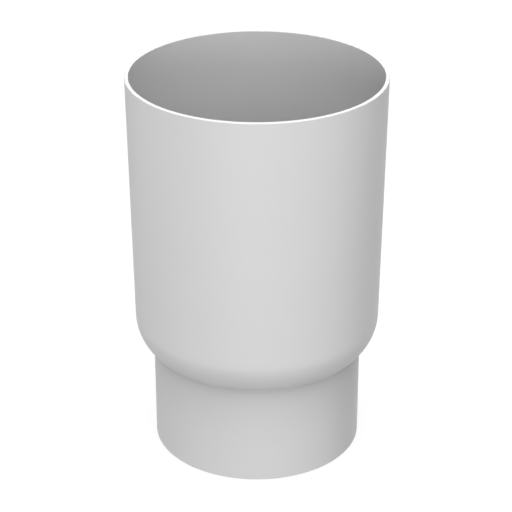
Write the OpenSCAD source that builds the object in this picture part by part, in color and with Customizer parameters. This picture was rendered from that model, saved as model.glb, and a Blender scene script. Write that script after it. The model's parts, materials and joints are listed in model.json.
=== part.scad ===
// Pipe reducer: a deep drafted socket above, a rounded shoulder and a narrower spigot below.
// It is one thin-walled moulding, round about the Z axis. The origin is at the centre of the
// spigot's end face, and +Z points up through the shoulder and out of the socket's mouth.

/* [Socket] */
// Outside diameter of the barrel at its rim
rim_d = 132.8; // [131:0.1:140]
// Outside diameter of the barrel at its foot, where the shoulder starts
foot_d = 129.1; // [128.4:0.1:131]
// Length of the barrel from the rim down to the shoulder
barrel_length = 132.5; // [70:0.5:200]
// Wall thickness at the rim
rim_wall = 1.95; // [1.6:0.05:2.6]
// Inside diameter of the parallel seat that holds the larger pipe
seat_d = 125.4; // [124.4:0.1:125.6]
// Length of the parallel seat, which starts just above the shoulder
seat_length = 40; // [20:1:60]

/* [Shoulder] */
// Outside radius of the rounded shoulder
shoulder_radius = 23.5; // [16:0.1:36]

/* [Spigot] */
// Outside diameter of the spigot, which enters the smaller pipe's socket
spigot_d = 110.2; // [106:0.1:116]
// Length of the spigot from its end face to the crease under the shoulder
spigot_length = 53.9; // [30:0.1:120]
// Wall thickness of the spigot
spigot_wall = 2; // [1.6:0.1:3]

/* [Edges] */
// Radius on the rim's outer edge
rim_rounding = 0.4; // [0.2:0.1:1]
// Radius on the inner edge where the shoulder meets the spigot's bore
throat_rounding = 1; // [0.4:0.1:1.5]
// Radius on the spigot's outer edge, at its end face
tip_rounding = 0.4; // [0.2:0.1:1]

/* [Hidden] */

// Facets in a full turn
$fn = 240;

// How far a cutting shape runs past the face that it opens
overrun = 5;

// An edge radius is drawn this much larger, so that its arc crosses both faces cleanly
arc_bite = 0.002;

rim_r = rim_d / 2;
foot_r = foot_d / 2;
seat_r = seat_d / 2;
spigot_r = spigot_d / 2;
mouth_r = rim_r - rim_wall;
bore_r = spigot_r - spigot_wall;

// The shoulder's outer and inner arcs share one centre, level with the barrel's foot.
// The outer arc starts at the barrel's wall and ends at the crease on the spigot.
arc_centre_r = foot_r - shoulder_radius;
inner_radius = seat_r - arc_centre_r;
foot_z = spigot_length + side_of(shoulder_radius, spigot_r - arc_centre_r);
seat_top_z = foot_z + seat_length;
rim_z = foot_z + barrel_length;

// Centre of the rim's edge radius, inside the drafted wall
rim_edge_z = rim_z - rim_rounding;
rim_edge_r = rim_r - rim_rounding * (1 + (rim_r - foot_r) / barrel_length);

// Centre of the throat's edge radius, and its direction from the shoulder's inner arc
throat_r = bore_r + throat_rounding;
throat_z = foot_z - side_of(inner_radius + throat_rounding, throat_r - arc_centre_r);
throat_lean = atan2(foot_z - throat_z, arc_centre_r - throat_r);

// Third side of a right triangle
function side_of(longest, other) = sqrt(longest * longest - other * other);

// Unit vector at an angle from the radial direction
function heading(angle) = [cos(angle), sin(angle)];

// The outlines below are halves of a cross-section: X is the radius and Y is the height.

// Disc under the barrel's foot, with a quarter round of the given radius for its edge
module rounded_disc(radius) {
    translate([0, foot_z - radius])
        square([arc_centre_r, radius]);
    intersection() {
        translate([arc_centre_r, foot_z])
            circle(r = radius);
        translate([arc_centre_r, foot_z - radius])
            square(radius);
    }
}

// What a rounded edge leaves out, between the two directions square to the faces that meet
module edge_waste(centre, radius, first_angle, last_angle) {
    reach = radius + overrun;
    translate(centre)
        difference() {
            polygon([
                [0, 0],
                reach * heading(first_angle),
                2 * reach * heading((first_angle + last_angle) / 2),
                reach * heading(last_angle)
            ]);
            circle(r = radius + arc_bite);
        }
}

// Filled outline of the outside: barrel, shoulder and spigot
module outside_outline() {
    polygon([[0, foot_z], [foot_r, foot_z], [rim_r, rim_z], [0, rim_z]]);
    rounded_disc(shoulder_radius);
    square([spigot_r, foot_z]);
}

// Filled outline of the inside: lead-in taper, parallel seat, shoulder and spigot bore
module inside_outline() {
    polygon([
        [0, foot_z],
        [seat_r, foot_z],
        [seat_r, seat_top_z],
        [mouth_r, rim_z],
        [mouth_r, rim_z + overrun],
        [0, rim_z + overrun]
    ]);
    rounded_disc(inner_radius);
    translate([0, -overrun])
        square([bore_r, foot_z + overrun]);
}

module reducer_body() {
    color("gainsboro")
        rotate_extrude()
            difference() {
                outside_outline();
                inside_outline();
                edge_waste([rim_edge_r, rim_edge_z], rim_rounding, 0, 90);
                edge_waste([throat_r, throat_z], throat_rounding, throat_lean, 180);
                edge_waste([spigot_r - tip_rounding, tip_rounding], tip_rounding, -90, 0);
            }
}

reducer_body();
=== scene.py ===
import json
import math

import bpy
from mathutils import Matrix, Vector


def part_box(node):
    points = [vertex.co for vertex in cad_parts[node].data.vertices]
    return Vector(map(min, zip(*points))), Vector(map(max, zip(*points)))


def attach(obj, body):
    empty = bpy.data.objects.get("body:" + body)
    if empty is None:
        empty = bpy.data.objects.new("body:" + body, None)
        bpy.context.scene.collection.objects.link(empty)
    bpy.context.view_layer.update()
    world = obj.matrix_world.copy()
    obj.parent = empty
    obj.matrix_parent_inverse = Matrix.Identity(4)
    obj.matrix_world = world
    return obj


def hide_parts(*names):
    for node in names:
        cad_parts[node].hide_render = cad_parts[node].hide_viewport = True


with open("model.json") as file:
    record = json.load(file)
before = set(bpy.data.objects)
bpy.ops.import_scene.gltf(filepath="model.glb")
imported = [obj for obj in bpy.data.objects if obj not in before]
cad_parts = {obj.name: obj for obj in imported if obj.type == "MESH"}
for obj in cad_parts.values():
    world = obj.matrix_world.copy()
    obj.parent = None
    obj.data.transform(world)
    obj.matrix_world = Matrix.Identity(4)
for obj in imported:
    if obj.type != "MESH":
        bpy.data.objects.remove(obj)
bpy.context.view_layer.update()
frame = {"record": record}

# Looks of a thin-walled plastic pipe reducer. One fine mesh, turned round the Z axis, stands for
# the CAD node and follows its profile. Lengths are in metres; millimetre sizes end in "* MM".
MM = 0.001
NODE = "reducer_body"

# Driving sizes that the frame's record doesn't state, as in the CAD model
RIM_RADIUS = 66.4 * MM
FOOT_RADIUS = 64.55 * MM
BARREL_LENGTH = 132.5 * MM
RIM_WALL = 1.95 * MM
SHOULDER_RADIUS = 23.5 * MM
SPIGOT_WALL = 2.0 * MM
RIM_ROUNDING = 0.4 * MM
THROAT_ROUNDING = 1.0 * MM
TIP_ROUNDING = 0.4 * MM

# Small moulded radii that only the visual mesh has
INNER_EASE = 0.2 * MM
CREASE_FILLET = 0.3 * MM

# Mesh fineness
SEGMENTS = 288
ARC_STEP_DEG = 2.5
SMALL_ARC_STEP_DEG = 11
WALL_STEP = 7 * MM
SUPPORT_GAP = 0.25 * MM

# Satin plastic
PLASTIC_GREY = 0.62
PLASTIC_ROUGHNESS = 0.55
PLASTIC_SPECULAR = 0.3

# Its skin: grain, lines where the mould was drawn off, and slow flow marks
GRAIN_SIZE = 0.5 * MM
GRAIN_HEIGHT = 0.004 * MM
GRAIN_SHADE = 0.012
DRAW_LINE_SIZE = 0.9 * MM
DRAW_LINE_HEIGHT = 0.003 * MM
DRAW_STRETCH = (1, 1, 0.03)
FLOW_SIZE = 30 * MM
FLOW_HEIGHT = 0.08 * MM
FLOW_SHADE = 0.012
FLOW_ROUGHNESS = 0.08
FINE_DETAIL = 3

# Patchy wear along the edges of the rim and the spigot's end, which leaves them darker and duller.
# It is full where the patches' noise is above RUB_PATCH_RANGE, and RUB_LEAST of that where it is below.
RUB_REACH = 0.9 * MM
RUB_PATCH_SIZE = 6 * MM
RUB_PATCH_RANGE = (0.4, 0.65)
RUB_LEAST = 0.3
RUB_SHADE = 0.04
RUB_ROUGHNESS = 0.08

# Painted shade on the spigot under the shoulder, darkest at the crease. Its source is a circle that lies
# CORE outside the spigot and as far below the crease. It halves at FADE from there, and ends at the crease
# within LAP.
CREASE_SHADE_CORE = 0.5 * MM
CREASE_SHADE_FADE = 2.6 * MM
CREASE_SHADE_LAP = 0.4 * MM
CREASE_SHADE_STRENGTH = 0.185

# Painted shade deep in the socket, which grows between these depths below the rim
SOCKET_SHADE_START = 25 * MM
SOCKET_SHADE_END = 75 * MM
SOCKET_SHADE_STRENGTH = 0.11

# Cosines between a surface's normal and the direction away from the axis: the surface starts to count
# as the inside at the first, and counts fully at the second
INSIDE_STARTS = -0.2
INSIDE_FULL = -0.8

# Camera: the long view, from above, that the reference shows
CAMERA_DISTANCE = 0.9227
CAMERA_DROP_DEG = 26.42
CAMERA_TARGET_Z = 0.1034
CAMERA_LENS_MM = 123.36
CAMERA_SENSOR_MM = 36
CAMERA_SHIFT_X = -0.0019

# Soft round lights, as (azimuth, elevation, watts). Azimuth 0 is on the camera's side, 90 to its right.
SOFTBOXES = {
    "overhead": (0, 90, 21),
    "key_left": (-30, 70, 7.5),
    "key_right": (30, 70, 9),
    "front": (10, 20, 4),
    "low_front": (-10, -5, 15.5),
    "low_left": (-110, -5, 7.5),
    "low_right": (80, -5, 4.5),
    "back": (180, 10, 8),
    "under_back_left": (-150, -30, 4),
    "under_back_right": (150, -30, 6.5),
}
SOFTBOX_DISTANCE = 1.6
SOFTBOX_DIAMETER = 1.2
SOFTBOX_TARGET = Vector((0, 0, 0.1))
AMBIENT = 0.15
BACKDROP = 1.0

# A floor that only the camera sees, pale mostly from its own glow, and a mat that keeps light out of
# the bore from below. The mat lies MAT_GAP above the floor and as far below the spigot's end.
FLOOR_RADIUS = 0.8
FLOOR_GREY = 0.12
FLOOR_GLOW = 0.89
MAT_GREY = 0.3
MAT_GAP = 0.2 * MM
DISC_SEGMENTS = 96


def mount_size(name, size):
    """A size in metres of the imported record's mount of that name."""
    found = next(mount for mount in frame["record"]["mounts"] if mount["name"] == name)
    return found["dims"][size] * MM


# Levels and radii of the profile, from the frame and the driving sizes
SPIGOT_RADIUS = mount_size("spigot", "r_mm")
SEAT_RADIUS = mount_size("pipe_seat", "r_mm")
BORE_RADIUS = SPIGOT_RADIUS - SPIGOT_WALL
MOUTH_RADIUS = RIM_RADIUS - RIM_WALL
RIM_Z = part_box(NODE)[1].z
FOOT_Z = RIM_Z - BARREL_LENGTH
SEAT_TOP_Z = FOOT_Z + mount_size("pipe_seat", "length_mm")

# The shoulder's outer and inner arcs share this centre, as (radius, height)
ARC_CENTRE = (FOOT_RADIUS - SHOULDER_RADIUS, FOOT_Z)
CREASE_Z = FOOT_Z - math.sqrt(SHOULDER_RADIUS ** 2 - (SPIGOT_RADIUS - ARC_CENTRE[0]) ** 2)


def on_circle(centre, radius, angle):
    """The point of a circle in the profile's plane, at an angle in radians from the radial direction."""
    return centre[0] + radius * math.cos(angle), centre[1] + radius * math.sin(angle)


def arc(centre, radius, first, last, step_deg):
    """Points on a round stretch of the profile, both ends included."""
    steps = max(2, math.ceil(abs(last - first) / math.radians(step_deg)))
    return [on_circle(centre, radius, first + (last - first) * i / steps) for i in range(steps + 1)]


def wall(start, end):
    """Points between two ends of a straight stretch: a support loop near each end and even steps between."""
    length = math.dist(start, end)
    steps = max(1, round(length / WALL_STEP))
    shares = [SUPPORT_GAP / length]
    shares += [i / steps for i in range(1, steps)]
    shares.append(1 - SUPPORT_GAP / length)
    return [tuple(a + (b - a) * share for a, b in zip(start, end)) for share in shares]


def touching(arc_radius, edge_radius, centre_r):
    """The circle of a small edge that touches the shoulder's arc from below, centred centre_r from the axis.

    Gives its centre, and the direction to it from the arc's centre in radians.
    """
    reach = arc_radius + edge_radius
    across = centre_r - ARC_CENTRE[0]
    drop = math.sqrt(reach ** 2 - across ** 2)
    return (centre_r, FOOT_Z - drop), math.atan2(-drop, across)


def outside_profile():
    """The outside, from the spigot's end up to the rim."""
    tip_centre = (SPIGOT_RADIUS - TIP_ROUNDING, TIP_ROUNDING)
    tip = arc(tip_centre, TIP_ROUNDING, -math.pi / 2, 0, SMALL_ARC_STEP_DEG)

    fillet_centre, meeting = touching(SHOULDER_RADIUS, CREASE_FILLET, SPIGOT_RADIUS + CREASE_FILLET)
    crease = arc(fillet_centre, CREASE_FILLET, math.pi, math.pi + meeting, SMALL_ARC_STEP_DEG)
    shoulder = arc(ARC_CENTRE, SHOULDER_RADIUS, meeting, 0, ARC_STEP_DEG)

    draft = math.atan2(RIM_RADIUS - FOOT_RADIUS, BARREL_LENGTH)
    edge_r = RIM_RADIUS - RIM_ROUNDING * (math.tan(draft) + 1 / math.cos(draft))
    rim = arc((edge_r, RIM_Z - RIM_ROUNDING), RIM_ROUNDING, -draft, math.pi / 2, SMALL_ARC_STEP_DEG)
    return tip + wall(tip[-1], crease[0]) + crease + shoulder[1:] + wall(shoulder[-1], rim[0]) + rim


def inside_profile():
    """The inside, from the rim down to the spigot's end."""
    lean = math.atan2(MOUTH_RADIUS - SEAT_RADIUS, RIM_Z - SEAT_TOP_Z)
    ease_r = MOUTH_RADIUS + INNER_EASE * (1 / math.cos(lean) - math.tan(lean))
    mouth_centre = (ease_r, RIM_Z - INNER_EASE)
    mouth = arc(mouth_centre, INNER_EASE, math.pi / 2, math.pi - lean, SMALL_ARC_STEP_DEG)
    seat_top = (SEAT_RADIUS, SEAT_TOP_Z)

    inner_radius = SEAT_RADIUS - ARC_CENTRE[0]
    throat_centre, meeting = touching(inner_radius, THROAT_ROUNDING, BORE_RADIUS + THROAT_ROUNDING)
    funnel = arc(ARC_CENTRE, inner_radius, 0, meeting, ARC_STEP_DEG)
    throat = arc(throat_centre, THROAT_ROUNDING, math.pi + meeting, math.pi, SMALL_ARC_STEP_DEG)

    tip_centre = (BORE_RADIUS + INNER_EASE, INNER_EASE)
    tip = arc(tip_centre, INNER_EASE, math.pi, 1.5 * math.pi, SMALL_ARC_STEP_DEG)
    upper = mouth + wall(mouth[-1], seat_top) + [seat_top] + wall(seat_top, funnel[0])
    return upper + funnel + throat[1:] + wall(throat[-1], tip[0]) + tip


def reducer_profile():
    """The closed cross-section as (radius, height) points, anticlockwise from the spigot's end."""
    outside = outside_profile()
    inside = inside_profile()
    return outside + wall(outside[-1], inside[0]) + inside + wall(inside[-1], outside[0])


def turned(name, profile):
    """A closed mesh of quads: the profile turned once round the Z axis."""
    count = len(profile)
    points = []
    for turn in range(SEGMENTS):
        angle = 2 * math.pi * turn / SEGMENTS
        points += [(r * math.cos(angle), r * math.sin(angle), z) for r, z in profile]
    faces = []
    for turn in range(SEGMENTS):
        near = turn * count
        far = (turn + 1) % SEGMENTS * count
        for i in range(count):
            following = (i + 1) % count
            faces.append((near + i, far + i, far + following, near + following))
    mesh = bpy.data.meshes.new(name)
    mesh.from_pydata(points, [], faces)
    mesh.shade_smooth()
    piece = bpy.data.objects.new(name, mesh)
    bpy.context.scene.collection.objects.link(piece)
    return piece


def add(tree, kind, inputs, **settings):
    """A new shader node. An input takes a value, or another node's output to link."""
    node = tree.nodes.new(kind)
    for key, value in settings.items():
        setattr(node, key, value)
    for key, value in inputs.items():
        if isinstance(value, bpy.types.NodeSocket):
            tree.links.new(value, node.inputs[key])
        else:
            node.inputs[key].default_value = value
    return node


def noise(tree, place, feature, detail=2.0):
    """Smooth noise about 0.5, with features of about the given size. More detail adds finer ones."""
    inputs = {"Vector": place, "Scale": 1 / feature, "Detail": detail}
    return add(tree, "ShaderNodeTexNoise", inputs).outputs["Fac"]


def weighted(tree, value, factor, rest):
    """value * factor + rest."""
    node = add(tree, "ShaderNodeMath", {0: value, 1: factor, 2: rest}, operation="MULTIPLY_ADD")
    return node.outputs["Value"]


def product(tree, value, factor):
    """value * factor."""
    return weighted(tree, value, factor, 0)


def ramp(tree, value, low, high, at_low=0.0, at_high=1.0):
    """A smooth step from at_low to at_high, as value goes from low to high."""
    inputs = {"Value": value, "From Min": low, "From Max": high, "To Min": at_low, "To Max": at_high}
    return add(tree, "ShaderNodeMapRange", inputs, interpolation_type="SMOOTHSTEP").outputs["Result"]


def vector_step(tree, operation, inputs, result="Value"):
    """A result of one vector operation."""
    return add(tree, "ShaderNodeVectorMath", inputs, operation=operation).outputs[result]


def facing_axis(tree, flat):
    """1 where the surface faces the Z axis, as inside the socket, and 0 where it faces away."""
    normal = add(tree, "ShaderNodeNewGeometry", {}).outputs["Normal"]
    outward = vector_step(tree, "NORMALIZE", {0: flat}, "Vector")
    cosine = vector_step(tree, "DOT_PRODUCT", {0: normal, 1: outward})
    return ramp(tree, cosine, INSIDE_STARTS, INSIDE_FULL)


def from_circle(tree, in_profile, radius, height):
    """The distance from the circle round the Z axis at that radius and height."""
    return vector_step(tree, "DISTANCE", {0: in_profile, 1: (radius, 0, height)})


def largest(tree, values):
    """The largest of several values."""
    top = values[0]
    for value in values[1:]:
        top = add(tree, "ShaderNodeMath", {0: top, 1: value}, operation="MAXIMUM").outputs["Value"]
    return top


def rubbed_edges(tree, place, in_profile):
    """Patchy rubbing along the rim's and the spigot end's edges, from 0 to 1."""
    edges = [(RIM_RADIUS, RIM_Z), (MOUTH_RADIUS, RIM_Z), (SPIGOT_RADIUS, 0), (BORE_RADIUS, 0)]
    distances = [from_circle(tree, in_profile, radius, height) for radius, height in edges]
    masks = [ramp(tree, distance, 0, RUB_REACH, 1, 0) for distance in distances]
    patches = ramp(tree, noise(tree, place, RUB_PATCH_SIZE), *RUB_PATCH_RANGE, RUB_LEAST, 1)
    return product(tree, largest(tree, masks), patches)


def painted_shade(tree, flat, in_profile, height):
    """How much painted shade darkens the grey: on the spigot under the shoulder, most of all at the crease,
    and deep in the socket.
    """
    inside = facing_axis(tree, flat)
    # Painted shade deep in the socket, growing with depth below the rim
    deep = ramp(tree, height, RIM_Z - SOCKET_SHADE_START, RIM_Z - SOCKET_SHADE_END)
    shade_in_socket = product(tree, deep, inside)

    # Painted shade under the shoulder: darkest at the crease, fading down the spigot
    distance = from_circle(tree, in_profile, SPIGOT_RADIUS + CREASE_SHADE_CORE, CREASE_Z - CREASE_SHADE_CORE)
    spread = weighted(tree, distance, 1, CREASE_SHADE_FADE)
    crease_shade = add(tree, "ShaderNodeMath", {0: CREASE_SHADE_FADE, 1: spread}, operation="DIVIDE").outputs["Value"]
    below_crease = ramp(tree, height, CREASE_Z + CREASE_SHADE_LAP, CREASE_Z - CREASE_SHADE_LAP)
    outside = weighted(tree, inside, -1, 1)
    shade_on_spigot = product(tree, product(tree, crease_shade, below_crease), outside)
    return weighted(tree, shade_on_spigot, CREASE_SHADE_STRENGTH, product(tree, shade_in_socket, SOCKET_SHADE_STRENGTH))


def satin_plastic():
    """Light grey moulded plastic: fine skin grain, faint draw lines, flow marks, rubbed edges, and painted
    shade at the crease and deep in the socket.
    """
    material = bpy.data.materials.new("satin_plastic")
    material.use_nodes = True
    tree = material.node_tree
    shader = tree.nodes["Principled BSDF"]
    place = add(tree, "ShaderNodeTexCoord", {}).outputs["Object"]
    parts = add(tree, "ShaderNodeSeparateXYZ", {"Vector": place}).outputs
    flat = add(tree, "ShaderNodeCombineXYZ", {"X": parts["X"], "Y": parts["Y"]}).outputs["Vector"]
    radius = vector_step(tree, "LENGTH", {0: flat})
    in_profile = add(tree, "ShaderNodeCombineXYZ", {"X": radius, "Z": parts["Z"]}).outputs["Vector"]

    grain = noise(tree, place, GRAIN_SIZE)
    stretched = add(tree, "ShaderNodeMapping", {"Vector": place, "Scale": DRAW_STRETCH}).outputs["Vector"]
    draw_lines = noise(tree, stretched, DRAW_LINE_SIZE, FINE_DETAIL)
    flow = noise(tree, place, FLOW_SIZE, FINE_DETAIL)
    rub = rubbed_edges(tree, place, in_profile)

    grey = weighted(tree, flow, FLOW_SHADE, PLASTIC_GREY - FLOW_SHADE / 2)
    grey = weighted(tree, grain, GRAIN_SHADE, weighted(tree, grey, 1, -GRAIN_SHADE / 2))
    grey = weighted(tree, rub, -RUB_SHADE, grey)
    # Painted shade at the crease and deep in the socket darkens the grey
    grey = weighted(tree, painted_shade(tree, flat, in_profile, parts["Z"]), -1, grey)
    tree.links.new(grey, shader.inputs["Base Color"])

    roughness = weighted(tree, flow, FLOW_ROUGHNESS, PLASTIC_ROUGHNESS - FLOW_ROUGHNESS / 2)
    roughness = weighted(tree, rub, RUB_ROUGHNESS, roughness)
    tree.links.new(roughness, shader.inputs["Roughness"])
    shader.inputs["Specular IOR Level"].default_value = PLASTIC_SPECULAR

    fine = weighted(tree, draw_lines, DRAW_LINE_HEIGHT / GRAIN_HEIGHT, grain)
    skin = {"Height": fine, "Distance": GRAIN_HEIGHT, "Strength": 1}
    skin["Normal"] = add(tree, "ShaderNodeBump", {"Height": flow, "Distance": FLOW_HEIGHT}).outputs["Normal"]
    tree.links.new(add(tree, "ShaderNodeBump", skin).outputs["Normal"], shader.inputs["Normal"])
    return material


def make_camera():
    """The camera at the reference's viewing angle."""
    data = bpy.data.cameras.new("camera")
    data.sensor_fit = "HORIZONTAL"
    data.sensor_width = CAMERA_SENSOR_MM
    data.lens = CAMERA_LENS_MM
    data.shift_x = CAMERA_SHIFT_X
    drop = math.radians(CAMERA_DROP_DEG)
    forward = Vector((0, math.cos(drop), -math.sin(drop)))
    camera = bpy.data.objects.new("camera", data)
    camera.location = Vector((0, 0, CAMERA_TARGET_Z)) - CAMERA_DISTANCE * forward
    camera.rotation_euler = forward.to_track_quat("-Z", "Y").to_euler()
    bpy.context.scene.collection.objects.link(camera)
    bpy.context.scene.camera = camera


def make_softbox(name, azimuth_deg, elevation_deg, watts):
    """A soft round light that faces the object. It doesn't show in the picture itself."""
    azimuth = math.radians(azimuth_deg)
    elevation = math.radians(elevation_deg)
    level = math.cos(elevation)
    outward = Vector((math.sin(azimuth) * level, -math.cos(azimuth) * level, math.sin(elevation)))
    light = bpy.data.lights.new(name, "AREA")
    light.shape = "DISK"
    light.size = SOFTBOX_DIAMETER
    light.energy = watts
    softbox = bpy.data.objects.new(name, light)
    softbox.location = SOFTBOX_TARGET + outward * SOFTBOX_DISTANCE
    softbox.rotation_euler = outward.to_track_quat("Z", "Y").to_euler()
    softbox.visible_camera = False
    bpy.context.scene.collection.objects.link(softbox)


def make_world():
    """A little light from all round, and a white backdrop behind the floor."""
    world = bpy.data.worlds.new("studio")
    bpy.context.scene.world = world
    world.use_nodes = True
    tree = world.node_tree
    seen = add(tree, "ShaderNodeLightPath", {}).outputs["Is Camera Ray"]
    brightness = {"Value": seen, "To Min": AMBIENT, "To Max": BACKDROP}
    strength = add(tree, "ShaderNodeMapRange", brightness).outputs["Result"]
    background = tree.nodes["Background"]
    background.inputs["Color"].default_value = (1, 1, 1, 1)
    tree.links.new(strength, background.inputs["Strength"])


def disc(name, radius, height, material):
    """A flat round piece of the set, which isn't part of the object."""
    turns = [2 * math.pi * i / DISC_SEGMENTS for i in range(DISC_SEGMENTS)]
    mesh = bpy.data.meshes.new(name)
    rim = [(radius * math.cos(turn), radius * math.sin(turn), height) for turn in turns]
    mesh.from_pydata(rim, [], [range(DISC_SEGMENTS)])
    mesh.materials.append(material)
    piece = bpy.data.objects.new(name, mesh)
    bpy.context.scene.collection.objects.link(piece)
    return piece


def matt(name, grey, glow=0.0):
    """A plain matt material, which may give off light of its own."""
    material = bpy.data.materials.new(name)
    material.use_nodes = True
    shader = material.node_tree.nodes["Principled BSDF"]
    shader.inputs["Base Color"].default_value = (grey, grey, grey, 1)
    shader.inputs["Roughness"].default_value = 1
    shader.inputs["Specular IOR Level"].default_value = 0
    shader.inputs["Emission Color"].default_value = (1, 1, 1, 1)
    shader.inputs["Emission Strength"].default_value = glow
    return material


def make_floor():
    """The floor, which neither shades nor lights the object, and the mat that closes the bore from below."""
    floor = disc("floor", FLOOR_RADIUS, -2 * MAT_GAP, matt("pale_floor", FLOOR_GREY, FLOOR_GLOW))
    floor.visible_diffuse = False
    floor.visible_glossy = False
    floor.visible_shadow = False
    mat = disc("mat", BORE_RADIUS, -MAT_GAP, matt("grey_mat", MAT_GREY))
    mat.visible_camera = False


reducer = turned("reducer", reducer_profile())
reducer.data.materials.append(satin_plastic())
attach(reducer, "root")
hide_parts(NODE)
make_camera()
make_world()
make_floor()
for name, (azimuth_deg, elevation_deg, watts) in SOFTBOXES.items():
    make_softbox(name, azimuth_deg, elevation_deg, watts)
bpy.context.scene.view_settings.view_transform = "Standard"
